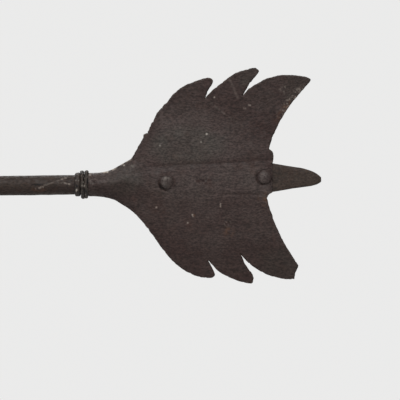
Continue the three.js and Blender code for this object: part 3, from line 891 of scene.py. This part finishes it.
def tail_grey_and_sheen(points):
    """Greyer and lighter: a painted sheen of light over the middle of the upper wing, and patina that has
    lost its red on the flare and the last barbs.
    """
    at, x, z = in_tail(points)
    # Painted sheen: the broad lighter middle of the upper wing.
    wing = spot(x, z, (82, 30), 0.6, 1.2, 32, 18)
    flare = 0.8 * spot(x, z, (30, 4), 0.6, 1.2, 16, 14)
    barbs = 1.2 * ease(x, 156, 168) * ease(z, 58, 68) + ease(x, 134, 146) * ease(-z, 50, 60)
    barbs += 0.8 * band(x, 123, 129, 138, 150) * ease(z, 76, 81)
    return np.maximum.reduce([wing, flare, barbs]) + 0.2 * lumps(at, 12, 49)


def tail_shade_and_soot(points):
    """Darker towards the barbs and over the lower wing; painted shade under the socket's and flare's crest,
    above the panel's step, along the wings' leading edges and round the rivets' heads; and soot in pits.
    """
    at, x, z = in_tail(points)
    high = 0.62 * ease(z, 45, 68) - 0.42 * ease(x, 152, 168) * ease(z, 66, 74)
    high -= 0.25 * spot(x, z, (112, 81), 3, 12)
    far = 0.55 * ease(x, 100, 122) * ease(z, 27, 42)
    far += 0.22 * ease(x, 132, 141) * band(z, 24, 32, 48, 60)
    far += 0.42 * ease(x, 123, 135) * band(z, 9, 14, 25, 31)
    # Painted shade: darker below the socket's and flare's crest, where the face turns down from the light,
    # and on down over the lower wing.
    under = np.interp(x, [0, 12, 22, 30, 42, 52, 62, 150], [1.2, 1.6, 1.6, 3.6, 1.5, -2, -5, -8]) - z
    low = (0.60 - 0.10 * ease(x, 80, 95)) * ease(under, -1.5, 4 + 7 * ease(x, 34, 60))
    low += 0.42 * ease(-z, 42, 62)
    patchy = 0.05 + 0.14 * lumps(at, 16, 44, 3) + streaks(at, LEADING_EDGE_SHADE)
    patchy += 0.55 * spot(x, z, (62.5, 8), 2, 7) - 0.24 * spot(x, z, (116, 31), 2, 11)
    # Painted shade in the hollow above the panel's upper step.
    over_step = swell(z - np.interp(x, *PANEL_TOP), 2.3, 2.5)
    patchy += 0.48 * ease(x, 44, 56) * (1 - 0.6 * ease(x, 128, 142)) * over_step
    pits = streaks(at, DARK_LINES) + 1.2 * swell(away(x, z, RING_PIT), 1.7, 0.6)
    pits += 1.6 * ease(lumps(at, (1.2, 1.2, 1.6), 48), 0.0, 0.7) * (1 - ease(x, 5, 10))
    # Painted shade in crescents round the rivets' heads.
    for strength, rivet, side, radius, width in SHADED_RIMS:
        pits += strength * rim_of(x, z, RIVETS[rivet], side, radius, width)
    return np.maximum(np.maximum.reduce([high, far, low]) + patchy, pits)


paint(plate, "grey_and_sheen", tail_grey_and_sheen)
paint(plate, "pale", tail_pale)
paint(plate, "rust", tail_rust)
paint(plate, "soot_and_shade", tail_shade_and_soot)

# ---- collars


def wavering(seed, lean, bulge):
    """A ring that is slightly out of true: it leans, and its thickness wanders."""

    def wobble(turn, radii, heights):
        drift = np.sin(turn) + 0.4 * np.sin(2 * turn + 1.7 * seed)
        return radii + bulge * np.sin(3 * turn + seed), heights + lean * drift

    return wobble


# Painted glints of light on the tail's collar, as (x, z, height over width, strength).
GLINTS = [
    (-9.5, -4.6, 1.6, 0.8),
    (-3.2, 5.9, 1.4, 0.6),
    (-3.2, -1.0, 1.2, 0.45),
]


def collar_ring(name, node, lean, seed, lumpy):
    """A hammered ring on the shaft, with rounded edges, filling its CAD node's box."""
    low, high = box_mm(node)
    inner, spill = 8.0, 0.13  # the rings are hammered up against each other
    width = high[0] - low[0] + 2 * spill
    outer = (high[2] - low[2]) / 2 + 0.3
    corner = min(0.48 * width, 0.98 * (outer - inner))
    quarter = np.radians(np.arange(0, 91, 15))

    def glints(points):
        """Painted glints: a few bright spots on the tail's rings, and fainter ones all round."""
        at, x, z = in_tail(points)
        shares = 0.3 * ease(lumps(points, 1.4, 57 + seed), 0.6, 0.95)
        for *place, tall, strength in GLINTS:
            bright = strength * spot(x, z, place, 0.3, 1.1, tall=tall)
            shares = np.maximum(shares, bright * (at[:, 1] < 0))
        return shares

    def grime(points):
        """Dirt all over, and more in the hammer marks."""
        return 0.25 + 1.9 * ease(lumps(points, (1.1, 1.3, 2.1), 54 + seed), -0.05, 0.7)

    near = arc((outer - corner, corner), corner, quarter - math.pi / 2)
    far = arc((outer - corner, width - corner), corner, quarter)
    start = (low[0] - spill, 0, AXIS_Z)
    profile = [(inner, 0), *near, *far, (inner, width)]
    ring = turned(name, profile, "x", 128, start, 0.1, 0.35, True, wavering(seed, lean, 0.10))
    beat(ring, forging(lumpy, 2.8, 0.12, 50 + seed))
    finish(ring, COLLAR_IRON, "forged_iron", "vane", node)
    paint(ring, "soot_and_shade", grime)
    paint(ring, "pale", glints)


COLLAR = [("band", 0.05, 0.20), ("bead_1", -0.34, 0.34), ("bead_2", 0.22, 0.34)]  # ring, lean, lumpiness
for i, end in enumerate(("tail", "head")):
    for j, (kind, lean, lumpy) in enumerate(COLLAR):
        collar_ring(f"{end}_{kind}_ring", f"{end}_collar_{kind}", lean, 2 + 3 * i + j, lumpy)

# ---- the shaft

ROUND = 7.95
IN_EYE_WALL = 11.7  # from the spindle's axis

# Stations along the bar, as for bar(): from the head's socket, from the spindle, and from the tail's.
HEAD_END = [
    (-88, 0, 2.4, 1.6, 2),
    (-84, 0, 5.2, 2.5, 3.5),
    (-78, 0, 7.6, 3, 5),
    (-44, 0, 9, 3, 5),
    (-32, 0, 8.8, 3.6, 3.6),
    (-20, 0, 8.4, 6, 2.4),
    (-8, 0, ROUND, ROUND, 2),
]
EYE = [
    (12, 0, 9.8, 12.5, 2.4),
    (20, 0, 9.2, 10.5, 2.2),
    (34, 0, ROUND, ROUND, 2),
]
TAIL_END = [
    (8, 0, ROUND, ROUND, 2),
    (20, 0.6, 8.5, 6.4, 2.4),
    (34, 1.6, 8.9, 4.4, 3.2),
    (52, 2.5, 9.3, 3, 5),
    (100, 3, 10.8, 3, 5),
    (150, 3.6, 11.8, 2.8, 5),
    (166, 3.5, 9, 2.5, 4.5),
    (176, 3.15, 7.6, 2.3, 4),
    (182, 2.6, 6.3, 2.1, 3.5),
    (186, 2.1, 4.9, 1.9, 3),
    (189, 1.7, 3.3, 1.5, 2.5),
    (190.8, 1.5, 1.5, 0.7, 2),
]
SHAFT = [(HEAD_X + x, *section) for x, *section in HEAD_END]
SHAFT += [(-x, *section) for x, *section in EYE[::-1]] + EYE
SHAFT += [(TAIL_X + x, *section) for x, *section in TAIL_END]


def build_shaft():
    """The bar in two halves, which end inside the wall of the eye, so that the swivel's tube has room."""
    far = np.arange(SHAFT[0][0], 60, 1.2)
    near = np.arange(60, SHAFT[-1][0] + 0.3, 0.7)
    head_half = [*far[far < -IN_EYE_WALL], -IN_EYE_WALL]
    tail_half = [IN_EYE_WALL, *far[far > IN_EYE_WALL], *near]
    hammered = forging(0.12, 8, 0.07, 61, drawn=0)

    def relief(points):
        at, x, z = in_tail(points)
        gouge = 0.5 * spot(x, z, (-44, -0.2), 0.4, 2.0, wide=1.8)
        return hammered(points) - gouge * (at[:, 1] < 0) + 0.15

    halves = []
    for end, steps in (("head", head_half), ("tail", tail_half)):
        halves.append(beat(bar(f"shaft_bar_{end}", SHAFT, steps, 72, (0, 0, AXIS_Z)), relief))
    profile = [(11.3, -12), (14.8, -12), (16.8, -6), (17.4, 0), (16.8, 6), (14.8, 12), (11.3, 12)]
    eye = turned("shaft_eye", profile, "z", 96, (0, 0, AXIS_Z), 2.0, 0.9, True)
    beat(eye, forging(0.25, 8, 0.07, 62))
    return join("shaft_forged", [*halves, eye])


shaft = build_shaft()
finish(shaft, FORGED_IRON, "forged_iron", "vane", "arrow_shaft")

# Scratches beside the collar: a long one up the shaft, bright at its ends, and a short one under it.
SCRATCHES = [
    (0.20, (-43, -2.6), (-16, 6.4), 0.8),
    (0.55, (-43, -2.9), (-37, -1.6), 0.9),
    (0.5, (-22, 4.3), (-18, 5.8), 0.9),
    (0.52, (-21.8, 1.8), (-16, 0.8), 0.9),
]


def shaft_pale(points):
    """The scratches, and the bright end of the short one."""
    at, _, _ = in_tail(points)
    broken = ease(lumps(at, 1.3, 63), -0.75, 0.3)
    bright_end = 0.5 * streak(at, (-15.6, 0.6), (-15.0, 0.5), 0.9)
    return (streaks(at, SCRATCHES) * broken + bright_end) * (at[:, 1] < 0)


def shaft_shade_and_soot(points):
    """The round bar is darker than the tongue beyond the plate, with painted shade on its lower half."""
    at, x, z = in_tail(points)
    beyond = ease(x, 0, 100)
    # Painted shade: the bar's lower half, away from the light, with its lowest edge left lighter.
    under = 0.36 * ease(-z, -0.5, 3.5) * (1 - 0.9 * ease(-z, 4.8, 7.2))
    drawn = 0.16 * lumps(points, (26, 4, 3), 64, 3) + 0.10 * lumps(points, 18, 65)
    gouge = 1.8 * streak(at, (-46, 0.7), (-37.5, 0.2), 1.6) * ease(lumps(points, 1.5, 66), -0.7, -0.1)
    return np.maximum(0.58 - 0.48 * beyond + under * (1 - beyond) + drawn, gouge * (at[:, 1] < 0))


def shaft_rust(points):
    """A rusty streak under the long scratch."""
    at, _, _ = in_tail(points)
    below = streak(at, (-45, -4.0), (-35, -4.0), 2.4) * ease(lumps(points, 2.0, 67), -0.3, 0.5)
    return 0.24 * below * (at[:, 1] < 0)


paint(shaft, "pale", shaft_pale)
paint(shaft, "rust", shaft_rust)
paint(shaft, "soot_and_shade", shaft_shade_and_soot)

# ---- rivets and burrs

# Painted highlights where light catches a rivet's dome, as (x, z, reach, strength).
DOME_HIGHLIGHTS = [(-0.9, 3.2, 2.0, 1.0), (1.9, 3.5, 1.4, 0.45), (-2.3, -0.4, 1.5, 0.4)]


def lean_over(piece, middle, front, lean, slip):
    """Sinks a rivet head's upper right into the plate, lifts its lower left, and slips it off centre."""
    place = vertices(piece.data)
    off = place - middle
    on_head = 1 - ease(off[:, 1], front + 2.3, front + 4)
    place[:, 1] += lean * (off[:, 0] + 0.7 * off[:, 2]) * on_head
    place[:, 0] += slip * on_head
    place[:, 2] += 0.8 * slip * on_head
    move(piece.data, place)


def forged_rivet(name, node, seed, metal, highlight_strength, lean, slip):
    """A domed rivet with a hammered head and tail, filling its CAD node's box."""
    low, high = box_mm(node)
    middle = (low + high) / 2 * (1, 0, 1)
    front, back = low[1], high[1]
    head, rise, tail, peen = 5.5, 2.3, 4.6, 1.9
    profile = [(0, front)]
    for share in (0.3, 0.55, 0.78, 0.92):
        profile.append((head * share, front + rise * (1 - math.sqrt(1 - share**2.4))))
    profile += [(head, front + rise), (3, front + rise + 0.1), (3, back - peen), (tail, back - peen)]
    for share in (0.85, 0.6, 0.3):
        profile.append((tail * share, back - peen * (1 - math.sqrt(1 - share**2.6))))
    profile.append((0, back))
    made = turned(name, profile, "y", 48, middle, 0.35, 0.5, wobble=wavering(seed, 0.0, 0.14))
    beat(made, forging(0.20, 2.6, 0.10, 70 + seed))
    lean_over(made, middle, front, lean, slip)
    finish(made, metal, "rivet_iron", "vane", node)

    # Painted highlight on the rivet's dome.
    def worn(points):
        """Painted highlight on the dome: most at its upper left, and in two fainter spots."""
        x, _, z = (points - middle).T
        spots = [share * spot(x, z, at, 0.3, reach) for *at, reach, share in DOME_HIGHLIGHTS]
        return highlight_strength * np.max(spots, axis=0) * (points[:, 1] < front + 2)

    def grime_and_shade(points):
        """Dirt all over and more in the hammer marks, with painted shade over the dome's lower right."""
        x, _, z = (points - middle).T
        # Painted shade: the dome's lower right, turned from the light.
        shaded_low_right = 0.55 * ease(x - 0.5 * z, 0.5, 4.5)
        return 0.30 + shaded_low_right + 1.1 * ease(lumps(points, (1.1, 1.1, 1.3), 76 + seed), 0.25, 0.9)

    paint(made, "pale", worn)
    paint(made, "soot_and_shade", grime_and_shade)


def burr_ring(name, node, seed):
    """A clipped washer under a rivet's hammered end."""
    low, high = box_mm(node)
    middle = ((low[0] + high[0]) / 2, low[1], (low[2] + high[2]) / 2)
    profile = ring_section(3.3, (high[0] - low[0]) / 2, 0, high[1] - low[1])
    made = turned(name, profile, "y", 48, middle, 0.3, 0.5, True, wavering(seed, 0.0, 0.15))
    beat(made, forging(0.06, 3, 0.04, 80 + seed))
    finish(made, RIVET_IRON, "rivet_iron", "vane", node)


RIVET_KINDS = [(RIVET_IRON, 0.17, 0.08, 0.6), (BROWN_RIVET, 0.05, 0.05, 0.4)]  # metal, glint, lean, slip
for i, end in enumerate(("tail", "head")):
    for j, kind in enumerate(RIVET_KINDS, start=1):
        forged_rivet(f"{end}_domed_rivet_{j}", f"{end}_rivet_{j}", 2 * i + j, *kind)
        burr_ring(f"{end}_washer_{j}", f"{end}_burr_{j}", 2 * i + j)

# ---- the head

HEAD = (HEAD_X, 0, AXIS_Z)
HEAD_BACK = 3.3  # the blade's back face, in front of the shaft's axis
HEAD_THICKNESS = 7.0
HEAD_EDGE = 2.4

# Measured from the socket's mouth towards the point, which is along -x.
BLADE = [
    [(-31, 14.6), (-27, 22), (-17, 35)],
    [(-22, 36.5), (-54, 25.5), (-90, 12.6), (-117, 1.6)],
    [(-118.5, 0), (-117, -1.6)],
    [(-90, -12.6), (-54, -25.5), (-22, -36.5), (-17, -35)],
    [(-27, -22), (-31, -14.6), (-22, -11.4)],
]
HEAD_SOCKET = [
    (-27, 0, 14, 6, 2),
    (-21, 0, 12, 7.4, 2),
    (-15, 0, 10.6, 8.6, 2),
    (-8, 0, 9.7, 9.4, 2),
    (0, 0, 9.6, 9.6, 2),
]


def head_front(x, z):
    """The blade's front, thinned towards its edges and drawn down into the socket."""
    across = np.clip((np.abs(z) - 9) / 33, 0, 1)
    height = HEAD_BACK + HEAD_THICKNESS + (HEAD_EDGE - HEAD_THICKNESS) * across
    height -= 3.4 * ease(x, -43, -24) + 0.5
    at = upright_plane(x, z)
    hammered = 0.35 * dents(at, 10, 101) + 0.25 * lumps(at, 22, 102) + 0.05 * lumps(at, (3, 3, 1.8), 103, 3)
    return height + 0.5 * swell(z, 0, 9) + hammered


def head_back(x, z):
    """The blade's nearly flat back."""
    at = upright_plane(x, z)
    return HEAD_BACK + 0.12 * dents(at, 9, 104) + 0.1 * lumps(at, 16, 105)


def build_head():
    """The blade and its socket as one forging."""
    loop = nibbled(outline((-22, 11.4), BLADE), lambda at: 0.8 + 0 * at[:, 0])
    blade = cut_sheet("head_blade_body", [loop], head_front, head_back, 1.1, 0.8, HEAD)
    neck = bar("head_neck", HEAD_SOCKET, np.arange(-27, 0.3, 0.6), 96, HEAD, 2.0)
    beat(neck, lambda p: forging(0.14, 7, 0.05, 106)(p) - 0.1)
    return join("head_blade_forged", [blade, neck])


finish(build_head(), FORGED_IRON, "forged_iron", "vane", "head_blade")

# ---- the swivel


def on_axis(node):
    """The outer radius, low end and high end of a CAD node on the spindle's axis."""
    low, high = box_mm(node)
    return (high[0] - low[0]) / 2, low[2], high[2]


def upright(name, node, profile, body, closed=False, radius=0.8, relief=None):
    """A turned and hammered piece on the spindle's axis, in place of its CAD node."""
    made = turned(name, profile, radius=radius, closed=closed)
    beat(made, relief or forging(0.12, 7, 0.05, len(name), drawn=2))
    finish(made, UPRIGHT_IRON, "forged_iron", body, node)


outer, low, high = on_axis("swivel_tube")
upright("swivel_sleeve", "swivel_tube", ring_section(8.5, outer, low, high), "vane", True)

for end in ("upper", "lower"):
    outer, low, high = on_axis(f"eye_ring_{end}")
    upright(f"eye_washer_{end}", f"eye_ring_{end}", ring_section(11.3, outer, low, high), "vane", True, 1.2)

outer, low, high = on_axis("cap_finial")
seat = low + 10.3
finial_profile = [
    (0, low),
    (8.2, low),
    (8.2, seat),
    (15.4, seat),
    (15.4, seat + 2),
    (11.5, seat + 4.2),
    (6.3, seat + 6.2),
    *arc((0, seat + 18), 11.4, np.radians(np.linspace(-52, 66, 12))),
    (2.2, high - 2.6),
    (0, high),
]
upright("ball_finial", "cap_finial", finial_profile, "vane", radius=1.0, relief=forging(0.22, 5, 0.05, 111))

# ---- the spindle and foot

outer, low, high = on_axis("spindle")
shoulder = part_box("drip_ring")[0].z / MM - 0.3
spindle_profile = [(0, low), (outer, low), (outer, shoulder), (6, shoulder), (6, high - 5), (0, high)]
upright("spindle_forged", "spindle", spindle_profile, "stand", relief=forging(0.14, 9, 0.06, 121, drawn=2))

outer, low, high = on_axis("drip_ring")
drip_profile = [(6.3, low), (outer - 1, low), (outer, low + 1.5), (outer - 2.5, high), (6.3, high)]
upright("drip_ring_forged", "drip_ring", drip_profile, "stand", True)


CORNERS = ((1, 1), (-1, 1), (-1, -1), (1, -1))


def build_foot():
    """The foot plate with its holes, and the boss welded into it as one forging."""
    half, _, top = on_axis("foot")
    thick, corner, hole, reach = 8.0, 12.0, 4.5, 44.0
    quarter = np.radians(np.arange(0, 91, 9))
    circle = np.radians(np.arange(0, 360, 10))
    edge, holes = [], []
    for k, (side_x, side_y) in enumerate(CORNERS):
        middle = (side_x * (half - corner), side_y * (half - corner))
        edge += [*arc(middle, corner, quarter + k * math.pi / 2)]
        holes.append(arc((side_x * reach, side_y * reach), hole, circle))

    def upper(x, y):
        at = np.stack([x, y, 0 * x], axis=1)
        return thick + 0.18 * dents(at, 12, 131) + 0.12 * lumps(at, 30, 132)

    loops = [np.array(softened(edge, 0.1, 1.5, True)), *holes]
    flat = cut_sheet("foot_plate", loops, upper, lambda x, y: 0 * x, 1.5, 1.0)
    lay_down = Matrix(((1, 0, 0, 0), (0, 0, 1, 0), (0, -1, 0, 0), (0, 0, 0, 1)))
    flat.data.transform(lay_down)
    boss_profile = [
        (9.3, 4),
        (25, 4),
        (24, thick),
        (19.8, thick + 3.5),
        (18, thick + 9),
        (16.5, top - 2),
        (15, top),
        (9.3, top),
    ]
    boss = turned("foot_boss", boss_profile, around=96, radius=1.5, closed=True)
    beat(boss, forging(0.2, 9, 0.06, 133))
    return join("foot_forged", [flat, boss])


finish(build_foot(), FORGED_IRON, "forged_iron", "stand", "foot")

for node, body in (("foot_pin", "stand"), ("cap_pin", "vane")):
    low, high = box_mm(node)
    (radius, reach, _), middle = (high - low) / 2, (low + high) / 2
    half = [(0, reach), (radius * 0.75, reach), (radius, reach - 1)]
    profile = [(r, -y) for r, y in half] + half[::-1]
    pin = turned(f"{node}_peened", profile, "y", 32, (0, 0, middle[2]), 0.5, 0.7)
    beat(pin, forging(0.1, 3, 0.04, 141))
    finish(pin, RIVET_IRON, "rivet_iron", body, node)

for node in ("thrust_disc", "guide_bush"):
    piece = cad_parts[node]
    piece.data.materials.clear()
    piece.data.materials.append(RUNNING_STEEL)

# ---- studio and camera

PALE = (0.828, 0.828, 0.824)
FLOOR_DARK = (0.690, 0.690, 0.685)
FLOOR_LIGHT = (0.702, 0.702, 0.697)


def build_floor():
    """A pale disc that fades into the surroundings towards its rim."""
    reach = 1.6
    mesh = bpy.data.meshes.new("floor")
    work = bmesh.new()
    bmesh.ops.create_circle(work, cap_ends=True, segments=96, radius=reach)
    work.to_mesh(mesh)
    work.free()
    floor = put("floor", mesh)
    floor.location.z = -0.0002
    s = Shader(bpy.data.materials.new("floor_paper"))
    paper = s.blend(s.ramp(s.noise(400, 2), 0.3, 0.7), FLOOR_DARK, FLOOR_LIGHT)
    from_middle = s.node("VectorMath", {0: s.place}, operation="LENGTH").outputs["Value"]
    fade = s.ramp(from_middle, 0.45 * reach, 0.98 * reach, 1.0, 0.0)
    look = {"Base Color": paper, "Roughness": 0.9, "Specular IOR Level": 0.1, "Alpha": fade}
    mesh.materials.append(s.surface(look))


def build_world():
    """Pale surroundings, brighter above than below. The camera sees one even pale tone."""
    world = bpy.data.worlds.new("studio")
    bpy.context.scene.world = world
    world.use_nodes = True
    world.node_tree.nodes.clear()
    s = Shader(world)
    up = s.node("SeparateXYZ", {0: s.node("TexCoord").outputs["Generated"]}).outputs["Z"]
    light = s.ramp(up, -1.0, 1.0, 0.14, 0.43, "LINEAR")
    around = s.node("Background", {"Color": (1.0, 1.0, 1.0, 1.0), "Strength": light})
    seen = s.node("Background", {"Color": (*PALE, 1.0)})
    by_camera = s.node("LightPath").outputs["Is Camera Ray"]
    mix = s.node("MixShader", {0: by_camera, 1: around.outputs[0], 2: seen.outputs[0]})
    s.node("OutputWorld", {0: mix.outputs[0]})


def soft_light(name, place, target, size, power):
    """A round area light at a place, turned towards its target. All in metres and watts."""
    lamp = bpy.data.lights.new(name, "AREA")
    lamp.shape = "DISK"
    lamp.size = size
    lamp.energy = power
    holder = put(name, lamp)
    holder.location = place
    holder.rotation_euler = (Vector(target) - Vector(place)).to_track_quat("-Z", "Y").to_euler()


def build_camera():
    """Level and square to the arrow, framing the tail, with the shaft rising very slightly to the right."""
    distance, width, roll = 2.5, 0.328, math.radians(0.785)  # width is what it sees at the arrow
    camera = bpy.data.cameras.new("camera")
    camera.sensor_width = 36
    camera.lens = 36 * distance / width
    camera.clip_end = 50
    holder = put("camera", camera)
    right = Vector((math.cos(roll), 0, -math.sin(roll)))
    up = Vector((math.sin(roll), 0, math.cos(roll)))
    turn = Matrix((right, up, Vector((0, -1, 0)))).transposed().to_4x4()
    middle = Vector((TAIL_X + 91.2, 0, AXIS_Z - 13.9)) * MM
    holder.matrix_world = Matrix.Translation(middle + Vector((0, -distance, 0))) @ turn
    bpy.context.scene.camera = holder


build_floor()
build_world()
soft_light("key", (-0.35, -2.2, 2.35), (0.15, 0, 0.36), size=1.3, power=79)
soft_light("back", (0.0, 2.4, 2.7), (0.1, 0, 0.3), size=2.0, power=42)
build_camera()
bpy.context.scene.view_settings.view_transform = "Standard"
